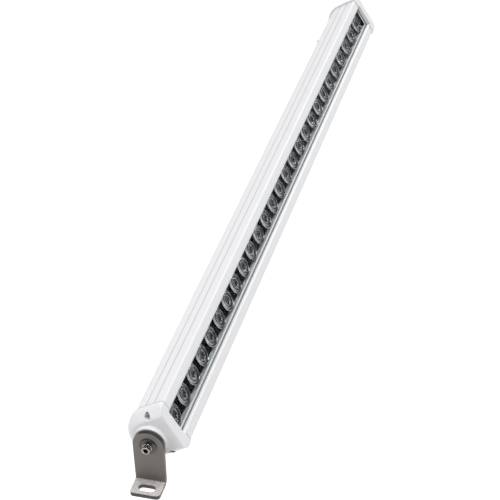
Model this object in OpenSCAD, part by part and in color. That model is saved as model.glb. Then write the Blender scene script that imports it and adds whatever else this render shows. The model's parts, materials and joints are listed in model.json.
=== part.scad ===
// Linear wall washer light, held at each end by a bent steel bracket that it tilts in.
// X runs along the lamp, +Y is the side that the light faces, +Z points away from the mounting surface.
// The origin lies on the mounting surface, half way between the brackets and below the pivot line.

/* [Lens row] */
// Lens holder modules along the lamp
module_count = 9; // [3:3:12]
// Lenses in one holder module
lenses_per_module = 3; // [2:1:3]
// Lens holder modules on one LED board
modules_per_board = 3; // [3:3:3]
// Distance between neighbouring lens centres
lens_pitch = 32.5; // [31:0.5:40]
// Diameter of a lens over its flange
lens_d = 24; // [22:0.5:26]
// Height of a lens above the board that it stands on
lens_h = 12.8; // [12:0.2:12.8]
// Diameter of the foot of a lens
lens_foot_d = 10; // [9:0.5:12]
// Thickness of the flange at the top of a lens
lens_flange_t = 1.2; // [0.8:0.1:2]
// Diameter of the well in a lens that takes the LED
lens_well_d = 6.4; // [5:0.2:7]
// Depth of that well
lens_well_h = 5.2; // [4:0.2:6.4]
// Diameter of the dish in the face of a lens
lens_dish_d = 7; // [5:0.5:9]
// Depth of the dish
lens_dish_h = 1.4; // [0.8:0.1:2]

/* [Lens holders] */
// Width of a lens holder
holder_w = 25; // [24.5:0.5:26.5]
// Thickness of the face of a lens holder
holder_t = 1.6; // [1:0.1:2.5]
// Distance from the lens faces down to the face of the holder
holder_drop = 4.8; // [3:0.2:6]
// Gap between neighbouring holders
holder_gap = 0.6; // [0.2:0.1:1]
// Radius of the corners of a holder
holder_corner_r = 1.5; // [0.5:0.1:3]
// Wall of the cup round a lens
cup_wall = 1.2; // [0.8:0.1:1.4]

/* [Housing] */
// Width of the extruded housing
housing_w = 52; // [50.5:0.5:60]
// Height of the front face over the pivot line
pivot_to_front = 25.5; // [23.5:0.5:30]
// Wall of the extrusion
wall = 2.4; // [2:0.1:2.6]
// Radius on the long front edges
front_edge_r = 2; // [0.5:0.1:3]
// Width of the window between the two bezels
window_w = 28; // [28:0.2:31.4]
// Chamfer along both edges of the window
window_edge = 1.3; // [0.5:0.1:1.5]
// Depth from the front face down to the glass
glass_recess = 5.2; // [4:0.2:6.4]
// Thickness of the glass
glass_t = 3; // [3:0.5:4]
// How far the glass runs under each bezel
glass_lap = 1.3; // [1:0.1:1.6]
// How far the ledge under the glass stands in from the edge of the window
ledge_in = 0.6; // [0.4:0.1:0.9]
// Spare length of the window past the lens row, at each end
window_spare = 1.75; // [0.25:0.25:3]
// Thickness of the web that carries the LED boards
web_t = 3.2; // [2:0.1:3.6]
// Thickness of the keel along the back, inside the round wall
keel_t = 5; // [4:0.5:6]
// Width of a side groove
groove_w = 1.4; // [0.8:0.1:2]
// Depth of the front side groove below the front face
groove_1_drop = 12.5; // [9:0.5:16]
// Depth of the rear side groove below the front face
groove_2_drop = 22.9; // [18:0.5:23]
// How far the housing runs under an end cap, past the window
housing_under_cap = 2.5; // [1.5:0.1:4]

/* [Glass seal] */
// Width of the bead on the glass
bead_w = 1.7; // [1:0.1:2]
// Height of the bead
bead_h = 0.7; // [0.4:0.1:1]
// Gap between the bead and the edge of the window
bead_gap = 1.4; // [0.4:0.1:2]

/* [End caps] */
// How far a cap stands proud of the sides of the housing
cap_proud = 2; // [1.5:0.1:3]
// How far a cap stands proud of the front face
cap_front_proud = 1; // [0.8:0.1:2]
// How far the skirt of a cap reaches back over the housing, from the end of the window
skirt_lap = 3.5; // [3:0.5:8]
// Radius of the corners where the skirt opens round the window
skirt_corner_r = 1.5; // [0.5:0.1:2.5]
// Distance from the end of the window to the end face of a cap
cap_depth = 13.5; // [13:0.5:15]
// Half width of the end face, from the pivot line
end_face_r = 20; // [19:0.5:21]
// Radius along the front edge of the end face
crease_r = 1.2; // [0.5:0.1:1.8]
// Diameter of the pivot boss
boss_d = 33.6; // [28:0.2:35]
// Height of the pivot boss over the end face
boss_h = 5.85; // [4.05:0.2:7.05]
// Thickness of a cap gasket
gasket_t = 1.5; // [1:0.1:2]
// Depth of the hollow in the back of a cap
core_h = 5; // [3:0.5:6]
// Wall round that hollow
core_wall = 5; // [4:0.5:6]
// Diameter of the solid core round the pivot bolt
core_boss_d = 16; // [14:0.5:20]

/* [Cap screws] */
// Distance of a cap screw from the side of the housing
cap_screw_inset = 2.8; // [2.6:0.1:4]
// Height of a cap screw over the pivot line
cap_screw_z = 9.5; // [7:0.5:10]
// Thread diameter of a cap screw
cap_screw_d = 3; // [2.5:0.5:3]
// Head diameter of a cap screw
cap_screw_head_d = 6; // [5:0.5:6.5]
// Head height of a cap screw
cap_screw_head_h = 3; // [2.5:0.5:3.5]
// Key width of the socket in a cap screw
cap_screw_key = 2.5; // [2:0.5:3]
// Length of a cap screw under its head
cap_screw_l = 16; // [12:1:25]
// Distance from the end of the window to the seat of a cap screw head
cap_screw_seat = 6; // [5.8:0.1:7]

/* [Brackets] */
// Height of the pivot line over the mounting surface
pivot_h = 49; // [44:0.5:80]
// Thickness of the bracket plate
plate_t = 4.5; // [3:0.5:6]
// Diameter of the rounded top of a bracket
bracket_top_d = 32; // [26:0.5:36]
// Width of a bracket at its foot
bracket_foot_w = 31; // [26:0.5:36]
// Length of a foot, from the outer face of the stem to its tip
foot_l = 22; // [20:0.5:40]
// Radius of the two free corners of a foot
foot_corner_r = 4; // [1:0.5:6]
// Inner radius of the bend
bend_r = 1.5; // [1:0.5:3]
// Width of the slot in a foot
slot_w = 9.5; // [6:0.5:12]
// Length of the slot, end to end
slot_l = 18; // [14:0.5:22]
// Distance from the outer face of the stem to the middle of the slot
slot_offset = 12.5; // [11:0.5:14]

/* [Pivots] */
// Thread diameter of a pivot bolt
pivot_bolt_d = 5; // [4:0.5:6]
// Length of a pivot bolt under its head
pivot_bolt_l = 20; // [17:1:20]
// Head diameter of a pivot bolt
pivot_head_d = 8.5; // [8:0.5:10]
// Head height of a pivot bolt
pivot_head_h = 5; // [4:0.5:6]
// Key width of the socket in a pivot bolt
pivot_key = 4; // [3:0.5:5]
// Outer diameter of a flat washer
washer_d = 17.5; // [12:0.5:20]
// Thickness of a flat washer
washer_t = 1.5; // [1:0.1:2]
// Outer diameter of a spring washer
spring_washer_d = 10; // [8.8:0.2:12]
// Thickness of a spring washer
spring_washer_t = 1.6; // [1.2:0.1:2.2]
// Width of the split in a spring washer
spring_split = 1.2; // [0.5:0.1:2]
// Flange diameter of a pivot bush
bush_flange_d = 21; // [16:0.5:28]
// Flange thickness of a pivot bush
bush_flange_t = 1; // [0.5:0.1:2]
// Wall of a pivot bush
bush_wall = 1; // [0.8:0.1:1.5]
// Tilt of the light from straight out of the surface, as it is stored
rest_tilt = 60; // [0:1:90]

/* [LED boards] */
// Width of an LED board
led_board_w = 26; // [24:0.5:26.5]
// Thickness of the LED boards
led_board_t = 1.6; // [1:0.1:2]
// Gap between neighbouring LED boards
board_gap = 0.5; // [0.2:0.1:1]
// Thickness of a thermal pad
thermal_pad_t = 0.4; // [0.2:0.1:0.6]
// Side of an LED package
led_w = 3.5; // [2.5:0.1:4]
// Height of the body of an LED package
led_h = 0.7; // [0.5:0.1:1]
// Diameter of the dome on an LED package
led_dome_d = 2.8; // [2:0.1:3]
// Thread diameter of a board screw
board_screw_d = 3; // [2.5:0.5:3]
// Head diameter of a board screw
board_screw_head_d = 5.5; // [5:0.5:6]
// Head height of a board screw
board_screw_head_h = 2; // [1.5:0.1:2.4]
// Key width of the socket in a board screw
board_screw_key = 2; // [1.5:0.5:2.5]

/* [Driver] */
// Length of the driver board
driver_l = 260; // [200:10:260]
// Thickness of the driver board
driver_board_t = 1.6; // [1:0.1:2]
// Depth of the driver board below the pivot line
driver_drop = 8.3; // [8:0.1:10]
// How far the driver board runs into the groove on each side
driver_rail = 0.5; // [0.4:0.1:0.8]
// Length of the transformer along the lamp
transformer_l = 26; // [20:1:30]
// Width of the transformer
transformer_w = 20; // [14:1:22]
// Height of the transformer
transformer_h = 9; // [6:0.5:9]
// Diameter of a capacitor
capacitor_d = 8; // [6:0.5:10]
// Height of a capacitor
capacitor_h = 9; // [6:0.5:10]
// Capacitors on the board
capacitor_count = 4; // [2:1:5]
// Diameter of the inductor
inductor_d = 14; // [10:0.5:18]
// Height of the inductor
inductor_h = 8; // [5:0.5:9]
// Length of the terminal block along the lamp
terminal_l = 14; // [10:0.5:20]
// Width of the terminal block
terminal_w = 18; // [15:0.5:20]
// Height of the terminal block
terminal_h = 9; // [7:0.5:9]
// Poles of the terminal block
terminal_poles = 3; // [2:1:4]

/* [Cable gland] */
// Diameter of the thread of the gland
gland_thread_d = 12; // [11.5:0.5:13]
// Key width of the gland body and its nut
gland_key = 14; // [14:0.5:16]
// Diameter of the cable bore
gland_bore_d = 7; // [5:0.5:7.5]
// Height of the six sided body of the gland
gland_body_h = 3.5; // [3:0.5:5]
// Height of the gland nut
gland_nut_h = 7.5; // [7:0.5:10]
// Length of the spigot that the nut screws on
gland_spigot_h = 5; // [4:0.5:5.5]
// Wall of the rubber seal round the cable
gland_seal_wall = 1.1; // [0.8:0.1:1.3]
// Distance from the end of the window to the gland
gland_inset = 40; // [30:1:80]
// Depth of the flat that the gland sits on
gland_flat_h = 1; // [0.5:0.1:1.5]

/* [Hidden] */
board_count = module_count / modules_per_board;
$fn = 96;

// Clearances, and the overrun of every cut
slip = 0.1;
running_fit = 0.05;
loose_fit = 0.2;
lens_gap = 0.4;
overrun = 1;

// Lens row and window
lens_count = module_count * lenses_per_module;
row_l = lens_count * lens_pitch;
module_l = lenses_per_module * lens_pitch;
lenses_per_board = lenses_per_module * modules_per_board;
board_l = lenses_per_board * lens_pitch;
window_end = row_l / 2 + window_spare;
housing_end = window_end + housing_under_cap;

// Levels over the pivot line, from the glass down to the driver board
glass_top = pivot_to_front - glass_recess;
glass_bottom = glass_top - glass_t;
lens_top = glass_bottom - 2 * lens_gap;
board_top = lens_top - lens_h;
pad_top = board_top - led_board_t;
web_top = pad_top - thermal_pad_t;
web_bottom = web_top - web_t;
holder_top = lens_top - holder_drop;
holder_bottom = holder_top - holder_t;
driver_under = -driver_drop - driver_board_t;

// Lens body and the cup round it
lens_body_r = lens_d / 2 - lens_flange_t;
lens_cone_h = lens_h - lens_flange_t;
lens_curve_share = 0.6;
lens_steps = 6;
dish_floor_share = 0.33;
dish_depth_share = 0.8;
well_side_share = 0.8;
cup_r = lens_radius(holder_top - board_top) + lens_gap;

// Housing section
housing_r = housing_w / 2;
room_r = housing_r - wall;
slot_half = window_w / 2 + glass_lap + slip;
bay_half = window_w / 2 - ledge_in;
port_wall_share = 0.7;
port_r = cap_screw_d / 2 + wall * port_wall_share;
port_hole_r = cap_screw_d / 2 + running_fit;
keel_top = keel_t - housing_r;
driver_half = sqrt(room_r * room_r - driver_drop * driver_drop) + driver_rail;

// End caps, as distances past the end of the window
cap_back = housing_under_cap + gasket_t;
cap_r = housing_r + cap_proud;
cap_front = pivot_to_front + cap_front_proud;
cap_screw_y = housing_r - cap_screw_inset;
lip_share = 0.5;
dome_sink = cap_r - end_face_r;
dome_r = (cap_depth * cap_depth + dome_sink * dome_sink) / (2 * dome_sink);
dome_centre = cap_r - dome_r;
boss_top = cap_depth + boss_h;
pocket_r = cap_screw_head_d / 2 + lens_gap;

// Pivot stack, as distances past the end of the window
plate_in = boss_top + bush_flange_t;
plate_out = plate_in + plate_t;
washer_out = plate_out + washer_t;
spring_out = washer_out + spring_washer_t;
bolt_r = pivot_bolt_d / 2;
bush_r = bolt_r + running_fit + bush_wall;
bolt_hole_end = spring_out - pivot_bolt_l - overrun;
bend_centre = plate_out + bend_r;
bend_outer_r = bend_r + plate_t;
foot_tip = plate_out + foot_l;

// Parts of a socket head screw, as shares of the height of its head
neck_share = 0.25;
socket_share = 0.5;

// Places of the parts on the driver board, as shares of its length from the middle
transformer_share = 0.1;
inductor_share = 0.3;
terminal_share = 0.45;
capacitor_share = -0.12;
capacitor_step_share = 0.08;
terminal_hole_share = 0.5;
terminal_depth_share = 0.5;
inductor_hole_share = 0.33;
inductor_depth_share = 0.5;

// Gland levels below the pivot line
gland_seat = housing_r - gland_flat_h;
gland_hex_end = gland_seat + gland_body_h;
gland_spigot_end = gland_hex_end + gland_spigot_h;
gland_nut_end = gland_hex_end + gland_nut_h;
gland_seal_r = gland_bore_d / 2 + gland_seal_wall;

// Colours
powder_white = [0.9, 0.9, 0.91];
rubber_black = [0.08, 0.08, 0.08];
bright_steel = [0.7, 0.69, 0.67];
plate_steel = [0.52, 0.5, 0.48];

// Radius of the lens body at a height over its foot
function lens_radius(h) =
    lens_foot_d / 2 + (lens_body_r - lens_foot_d / 2) * pow(h / lens_cone_h, lens_curve_share);

// Place of lens number i along the lamp, counted from the near end
function lens_x(i) = row_l / 2 - (i - 0.5) * lens_pitch;

// Place of the middle of board number i
function board_x(i) = row_l / 2 - (i - 0.5) * board_l;

// Gaps between lenses that take the screws of board number i
function board_screw_x(i) =
    [for (gap = [1, floor(lenses_per_board / 2), lenses_per_board - 1])
        board_x(i) + board_l / 2 - gap * lens_pitch];

// Gives a shape drawn across the lamp (Y, Z) a length along X
module along_x(from, length) {
    translate([from, 0, 0])
        rotate([90, 0, 90])
            linear_extrude(length)
                children();
}

// Gives a shape drawn as (X, Z) a width along Y, on both sides of the middle plane
module across_y(width) {
    translate([0, width / 2, 0])
        rotate([90, 0, 0])
            linear_extrude(width)
                children();
}

// Tilts what is drawn round the pivot line, and lifts it onto that line
module in_lamp() {
    translate([0, 0, pivot_h])
        rotate([-rest_tilt, 0, 0])
            children();
}

// Starts at the end of the window at the near end, or mirrored at the far end
module at_end(side) {
    mirror([side < 0 ? 1 : 0, 0, 0])
        translate([window_end, 0, 0])
            children();
}

// A rod along X between two distances past the end of the window
module rod(r, from, to) {
    translate([from, 0, 0])
        rotate([0, 90, 0])
            cylinder(r = r, h = to - from);
}

// A bar with six sides along Z, measured over its flats
module six_sided(across, height) {
    cylinder(d = across / cos(30), h = height, $fn = 6);
}

// A socket head screw along Z, its head above zero and its shank below
module socket_screw(shank_d, shank_l, head_d, head_h, key) {
    difference() {
        union() {
            cylinder(d = head_d, h = head_h);
            translate([0, 0, -shank_l])
                cylinder(d = shank_d, h = shank_l + head_h * neck_share);
        }
        translate([0, 0, head_h * socket_share])
            six_sided(key, head_h);
    }
}

// Outline of the housing across the lamp, grown by given amounts round the back and at the front
module housing_outline(grow = 0, front_grow = 0) {
    r = housing_r + grow;
    top = pivot_to_front + front_grow;
    edge = front_edge_r + max(grow, 0);
    intersection() {
        circle(r = r);
        band(r, -r, top - edge);
    }
    translate([-r, 0])
        square([2 * r, top - edge]);
    translate([edge - r, 0])
        square([2 * (r - edge), top]);
    for (side = [-1, 1])
        translate([side * (r - edge), top - edge])
            circle(r = edge);
}

// A rectangle with its middle on Y = 0, between two levels
module band(half, low, high) {
    translate([-half, low])
        square([2 * half, high - low]);
}

// Closed chamber between the lens bay and a side wall, stepped past the glass slot
module side_chamber(side) {
    mirror([side < 0 ? 1 : 0, 0]) {
        translate([bay_half + wall, web_top])
            square([room_r - bay_half - wall, glass_bottom - wall - web_top]);
        translate([slot_half + wall, web_top])
            square([room_r - slot_half - wall, pivot_to_front - wall - web_top]);
    }
}

// Chamfers along the window
module window_flare() {
    low_half = window_w / 2;
    high_half = low_half + window_edge + overrun;
    low = pivot_to_front - window_edge;
    high = pivot_to_front + overrun;
    polygon([[-low_half, low], [low_half, low], [high_half, high], [-high_half, high]]);
}

// Room inside the housing: window, glass slot, lens bay, driver bay and side chambers
module housing_room() {
    band(window_w / 2, glass_top, pivot_to_front + overrun);
    window_flare();
    band(slot_half, glass_bottom - slip, glass_top + slip);
    band(bay_half, web_top, glass_top);
    intersection() {
        circle(r = room_r);
        band(room_r, keel_top, web_bottom);
    }
    band(driver_half + slip, driver_under - slip, slip - driver_drop);
    for (side = [-1, 1])
        difference() {
            side_chamber(side);
            translate([side * cap_screw_y, cap_screw_z])
                circle(r = port_r);
        }
}

// Threaded ports for the cap screws
module screw_ports() {
    for (side = [-1, 1])
        translate([side * cap_screw_y, cap_screw_z])
            circle(r = port_hole_r);
}

// Fine grooves along both sides
module side_grooves() {
    for (side = [-1, 1], drop = [groove_1_drop, groove_2_drop])
        translate([side * housing_r, pivot_to_front - drop])
            rotate(45)
                square(groove_w / sqrt(2), center = true);
}

// Holes for the board screws, between two levels
module board_screw_holes(r, low, high) {
    for (i = [1 : board_count], x = board_screw_x(i))
        translate([x, 0, low])
            cylinder(r = r, h = high - low);
}

// Moves to the gland, on the back near the far end
module at_gland() {
    translate([gland_inset - window_end, 0, 0])
        children();
}

module housing() {
    color(powder_white)
        in_lamp()
            difference() {
                along_x(-housing_end, 2 * housing_end)
                    difference() {
                        housing_outline();
                        housing_room();
                        screw_ports();
                        side_grooves();
                    }
                board_screw_holes(board_screw_d / 2 + running_fit, web_bottom - overrun, web_top + overrun);
                at_gland() {
                    translate([0, 0, -housing_r - overrun])
                        cylinder(d = gland_key / cos(30) + overrun, h = gland_flat_h + overrun);
                    translate([0, 0, -housing_r])
                        cylinder(r = gland_thread_d / 2 + running_fit, h = keel_t + overrun);
                }
            }
}

module front_glass() {
    color([0.8, 0.85, 0.87, 0.3])
        in_lamp()
            along_x(-housing_end, 2 * housing_end)
                band(window_w / 2 + glass_lap, glass_bottom, glass_top);
}

// The bead runs round the window on top of the glass
module glass_seal() {
    outer_l = 2 * (window_end - bead_gap);
    outer_w = window_w - 2 * bead_gap;
    color([0.8, 0.8, 0.8])
        in_lamp()
            translate([0, 0, glass_top])
                linear_extrude(bead_h)
                    difference() {
                        square([outer_l, outer_w], center = true);
                        square([outer_l - 2 * bead_w, outer_w - 2 * bead_w], center = true);
                    }
}

// Face of one holder, seen along its lenses
module holder_face() {
    l = module_l - holder_gap;
    square([l - 2 * holder_corner_r, holder_w], center = true);
    square([l, holder_w - 2 * holder_corner_r], center = true);
    for (x = [-1, 1], y = [-1, 1])
        translate([x * (l / 2 - holder_corner_r), y * (holder_w / 2 - holder_corner_r)])
            circle(r = holder_corner_r);
}

// Number of the first lens in holder number i, less one
function first_lens(i) = (i - 1) * lenses_per_module;

module lens_holder(i) {
    middle = (lens_x(first_lens(i) + 1) + lens_x(first_lens(i) + lenses_per_module)) / 2;
    color([0.06, 0.06, 0.07])
        in_lamp()
            difference() {
                union() {
                    translate([middle, 0, holder_bottom])
                        linear_extrude(holder_t)
                            holder_face();
                    for (k = [1 : lenses_per_module])
                        translate([lens_x(first_lens(i) + k), 0, board_top])
                            cylinder(r = cup_r + cup_wall, h = holder_top - board_top);
                }
                for (k = [1 : lenses_per_module])
                    translate([lens_x(first_lens(i) + k), 0, board_top - overrun])
                        cylinder(r = cup_r, h = holder_top - board_top + 2 * overrun);
            }
}

// One collimator lens: a dished face, a flange, a curved cone and a well for the LED
module lens() {
    face = [[0, lens_h - lens_dish_h], [lens_dish_d * dish_floor_share, lens_h - lens_dish_h * dish_depth_share],
        [lens_dish_d / 2, lens_h], [lens_d / 2, lens_h], [lens_d / 2, lens_cone_h]];
    cone = [for (s = [lens_steps : -1 : 0])
        let (h = lens_cone_h * s / lens_steps) [lens_radius(h), h]];
    well = [[lens_well_d / 2, 0], [lens_well_d / 2, lens_well_h * well_side_share], [0, lens_well_h]];
    rotate_extrude()
        polygon(concat(face, cone, well));
}

module lens_set(i) {
    color([0.75, 0.78, 0.8, 0.6])
        in_lamp()
            for (k = [1 : lenses_per_module])
                translate([lens_x(first_lens(i) + k), 0, board_top])
                    lens();
}

// Sheet under the lenses of one board, between two levels
module board_sheet(i, low, high) {
    translate([board_x(i), 0, low])
        linear_extrude(high - low)
            square([board_l - board_gap, led_board_w], center = true);
}

module led_board(i) {
    color([0.92, 0.92, 0.9])
        in_lamp()
            difference() {
                board_sheet(i, pad_top, board_top);
                board_screw_holes(board_screw_d / 2 + slip, pad_top - overrun, board_top + overrun);
            }
}

module thermal_pads() {
    color([0.6, 0.6, 0.62])
        in_lamp()
            difference() {
                for (i = [1 : board_count])
                    board_sheet(i, web_top, pad_top);
                board_screw_holes(board_screw_d / 2 + slip, web_top - overrun, pad_top + overrun);
            }
}

// A square body with a domed lens on top
module led_package() {
    linear_extrude(led_h)
        square(led_w, center = true);
    translate([0, 0, led_h])
        rotate_extrude($fn = 48)
            intersection() {
                circle(d = led_dome_d);
                square(led_dome_d / 2);
            }
}

module led_packages() {
    color([0.95, 0.85, 0.35])
        in_lamp()
            for (i = [1 : lens_count])
                translate([lens_x(i), 0, board_top])
                    led_package();
}

module board_screws() {
    color(bright_steel)
        in_lamp()
            for (i = [1 : board_count], x = board_screw_x(i))
                translate([x, 0, board_top])
                    socket_screw(board_screw_d, board_top - web_bottom, board_screw_head_d,
                        board_screw_head_h, board_screw_key);
}

module driver_board() {
    color([0.1, 0.4, 0.2])
        in_lamp()
            along_x(-driver_l / 2, driver_l)
                band(driver_half, driver_under, -driver_drop);
}

// Hangs a part of a given height under the driver board, at a share of its length
module under_board(share, height) {
    in_lamp()
        translate([share * driver_l, 0, driver_under - height])
            children();
}

module driver_transformer() {
    color([0.85, 0.75, 0.2])
        under_board(transformer_share, transformer_h)
            linear_extrude(transformer_h)
                square([transformer_l, transformer_w], center = true);
}

module driver_capacitors() {
    color([0.15, 0.2, 0.4])
        for (k = [0 : capacitor_count - 1])
            under_board(capacitor_share - k * capacitor_step_share, capacitor_h)
                cylinder(d = capacitor_d, h = capacitor_h);
}

module driver_inductor() {
    color([0.35, 0.3, 0.28])
        under_board(inductor_share, inductor_h)
            difference() {
                cylinder(d = inductor_d, h = inductor_h);
                translate([0, 0, -overrun])
                    cylinder(d = inductor_d * inductor_hole_share, h = inductor_h * inductor_depth_share + overrun);
            }
}

module terminal_block() {
    pole = terminal_w / terminal_poles;
    color([0.3, 0.6, 0.35])
        under_board(-terminal_share, terminal_h)
            difference() {
                linear_extrude(terminal_h)
                    square([terminal_l, terminal_w], center = true);
                for (k = [1 : terminal_poles])
                    translate([0, (k - 0.5) * pole - terminal_w / 2, -overrun])
                        cylinder(d = pole * terminal_hole_share, h = terminal_h * terminal_depth_share + overrun);
            }
}

// Half plan of a cap: X past the end of the window, Y the distance from the pivot line
module cap_plan() {
    translate([-skirt_lap, 0])
        square([skirt_lap + cap_depth, dome_centre]);
    translate([-skirt_lap, 0])
        square([skirt_lap, cap_r]);
    intersection() {
        translate([0, dome_centre])
            circle(r = dome_r, $fn = 180);
        square([cap_depth, cap_r]);
    }
}

// Side view of a cap in front of the pivot line, with its rounded crease
module cap_side() {
    translate([-skirt_lap, 0])
        square([skirt_lap + cap_depth, cap_front - crease_r]);
    translate([-skirt_lap, 0])
        square([skirt_lap + cap_depth - crease_r, cap_front]);
    translate([cap_depth - crease_r, cap_front - crease_r])
        circle(r = crease_r);
}

// Outer form of a cap: domed round the back, flat in front, with the pivot boss on its end face
module cap_form() {
    intersection() {
        linear_extrude(cap_front)
            for (side = [0, 1])
                mirror([0, side])
                    cap_plan();
        along_x(-skirt_lap, skirt_lap + cap_depth)
            housing_outline(cap_proud, cap_front_proud);
        across_y(2 * cap_r)
            cap_side();
    }
    rotate([0, 90, 0])
        rotate([0, 0, -90])
            rotate_extrude(angle = 180)
                mirror([1, -1])
                    cap_plan();
    rod(boss_d / 2, cap_depth - overrun, boss_top);
}

// The opening that the skirt leaves round the end of the window
module skirt_opening() {
    half = window_w / 2 + window_edge;
    mouth = half + skirt_corner_r;
    translate([-skirt_lap - overrun, -half])
        square([skirt_lap + overrun, 2 * half]);
    difference() {
        translate([-skirt_lap - overrun, -mouth])
            square([overrun + skirt_corner_r, 2 * mouth]);
        for (side = [-1, 1])
            translate([skirt_corner_r - skirt_lap, side * mouth])
                circle(r = skirt_corner_r);
    }
}

// Hollow in the back of a cap, round the cores of its bolt and screws
module cap_core() {
    difference() {
        housing_outline(-core_wall, -core_wall);
        circle(d = core_boss_d);
        for (side = [-1, 1])
            translate([side * cap_screw_y, cap_screw_z])
                circle(r = pocket_r + wall);
    }
}

// Places what is drawn along X at the two cap screws
module at_cap_screws() {
    for (side = [-1, 1])
        translate([0, side * cap_screw_y, cap_screw_z])
            children();
}

module cap(side) {
    color(powder_white)
        in_lamp()
            at_end(side)
                difference() {
                    union() {
                        difference() {
                            cap_form();
                            along_x(-skirt_lap - overrun, skirt_lap + overrun + cap_back)
                                housing_outline(slip, slip);
                            translate([0, 0, glass_top])
                                linear_extrude(glass_recess + cap_proud + overrun)
                                    skirt_opening();
                        }
                        along_x(0, cap_back + overrun)
                            band(window_w / 2 - slip, glass_top + slip, pivot_to_front + cap_front_proud * lip_share);
                    }
                    along_x(cap_back, core_h)
                        cap_core();
                    rod(bolt_r + running_fit, bolt_hole_end, boss_top + overrun);
                    at_cap_screws() {
                        rod(cap_screw_d / 2 + loose_fit, cap_back - overrun, cap_depth);
                        rod(pocket_r, cap_screw_seat, cap_depth + overrun);
                    }
                }
}

module cap_gasket(side) {
    color(rubber_black)
        in_lamp()
            at_end(side)
                along_x(housing_under_cap, gasket_t)
                    difference() {
                        housing_outline();
                        band(window_w / 2, glass_top, pivot_to_front + overrun);
                        band(bay_half - wall, web_top + wall, glass_bottom - wall);
                        intersection() {
                            circle(r = room_r - wall);
                            band(room_r, keel_top + wall, web_bottom - wall);
                        }
                        screw_ports();
                    }
}

module cap_screws(side) {
    color(bright_steel)
        in_lamp()
            at_end(side)
                at_cap_screws()
                    translate([cap_screw_seat, 0, 0])
                        rotate([0, 90, 0])
                            socket_screw(cap_screw_d, cap_screw_l, cap_screw_head_d, cap_screw_head_h, cap_screw_key);
}

// Side view of a bracket: stem, bend and foot
module bracket_side() {
    difference() {
        union() {
            translate([plate_in, 0])
                square([plate_t, pivot_h + bracket_top_d / 2]);
            translate([plate_in, 0])
                square([plate_t + foot_l, plate_t]);
            translate([plate_in, 0])
                square(bend_outer_r);
        }
        difference() {
            translate([plate_in - overrun, -overrun])
                square(bend_outer_r + overrun);
            translate([bend_centre, bend_outer_r])
                circle(r = bend_outer_r);
        }
        translate([bend_centre, bend_outer_r])
            circle(r = bend_r);
    }
}

// Front view of a bracket: a round top on a stem that narrows to the foot
module bracket_front() {
    top = bracket_top_d / 2;
    foot = bracket_foot_w / 2;
    translate([0, pivot_h])
        circle(r = top);
    polygon([[-foot, 0], [foot, 0], [top, pivot_h], [-top, pivot_h]]);
}

// Plan of a bracket, with the free corners of its foot rounded
module bracket_plan() {
    half = max(bracket_top_d, bracket_foot_w) / 2;
    corner_y = bracket_foot_w / 2 - foot_corner_r;
    translate([plate_in, -half])
        square([foot_l + plate_t - foot_corner_r, 2 * half]);
    translate([plate_in, -corner_y])
        square([foot_l + plate_t, 2 * corner_y]);
    for (side = [-1, 1])
        translate([foot_tip - foot_corner_r, side * corner_y])
            circle(r = foot_corner_r);
}

// Slot across a foot
module foot_slot() {
    run = slot_l - slot_w;
    translate([plate_out + slot_offset, 0]) {
        square([slot_w, run], center = true);
        for (side = [-1, 1])
            translate([0, side * run / 2])
                circle(d = slot_w);
    }
}

module bracket(side) {
    reach = pivot_h + bracket_top_d / 2;
    color(plate_steel)
        at_end(side)
            difference() {
                intersection() {
                    across_y(max(bracket_top_d, bracket_foot_w))
                        bracket_side();
                    along_x(plate_in, foot_l + plate_t)
                        bracket_front();
                    linear_extrude(reach)
                        bracket_plan();
                }
                translate([0, 0, -overrun])
                    linear_extrude(plate_t + 2 * overrun)
                        foot_slot();
                translate([0, 0, pivot_h])
                    rod(bush_r + running_fit, plate_in - overrun, plate_out + overrun);
            }
}

// A washer or sleeve along X between two distances past the end of the window
module ring(outer_r, inner_r, from, to) {
    difference() {
        rod(outer_r, from, to);
        rod(inner_r, from - overrun, to + overrun);
    }
}

// Puts what is drawn round the pivot line at one end
module at_pivot(side) {
    translate([0, 0, pivot_h])
        at_end(side)
            children();
}

module bush(side) {
    color([0.9, 0.89, 0.85])
        at_pivot(side)
            difference() {
                union() {
                    rod(bush_flange_d / 2, boss_top, plate_in);
                    rod(bush_r, boss_top, plate_out - slip);
                }
                rod(bolt_r + running_fit, boss_top - overrun, plate_out + overrun);
            }
}

module flat_washer(side) {
    color(bright_steel)
        at_pivot(side)
            ring(washer_d / 2, bolt_r + loose_fit, plate_out, washer_out);
}

module spring_washer(side) {
    color(bright_steel)
        at_pivot(side)
            difference() {
                ring(spring_washer_d / 2, bolt_r + slip, washer_out, spring_out);
                translate([washer_out - overrun, -spring_split / 2, 0])
                    cube([spring_washer_t + 2 * overrun, spring_split, spring_washer_d]);
            }
}

module pivot_bolt(side) {
    color(bright_steel)
        at_pivot(side)
            translate([spring_out, 0, 0])
                rotate([0, 90, 0])
                    socket_screw(pivot_bolt_d, pivot_bolt_l, pivot_head_d, pivot_head_h, pivot_key);
}

// A round piece along Z between two depths below the pivot line
module gland_round(r, from, to) {
    translate([0, 0, -to])
        cylinder(r = r, h = to - from);
}

// A six sided piece along Z between two depths below the pivot line
module gland_hex(from, to) {
    translate([0, 0, -to])
        six_sided(gland_key, to - from);
}

module gland_body() {
    color([0.2, 0.2, 0.21])
        in_lamp()
            at_gland()
                difference() {
                    union() {
                        gland_hex(gland_seat, gland_hex_end);
                        gland_round(gland_thread_d / 2, housing_r - keel_t, gland_seat + slip);
                        gland_round(gland_thread_d / 2, gland_hex_end - slip, gland_spigot_end);
                    }
                    gland_round(gland_bore_d / 2, housing_r - keel_t - overrun, gland_nut_end);
                    gland_round(gland_seal_r + slip, gland_hex_end, gland_nut_end);
                }
}

module gland_seal() {
    color(rubber_black)
        in_lamp()
            at_gland()
                difference() {
                    gland_round(gland_seal_r, gland_hex_end, gland_spigot_end + overrun);
                    gland_round(gland_bore_d / 2, gland_seat, gland_nut_end);
                }
}

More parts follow.
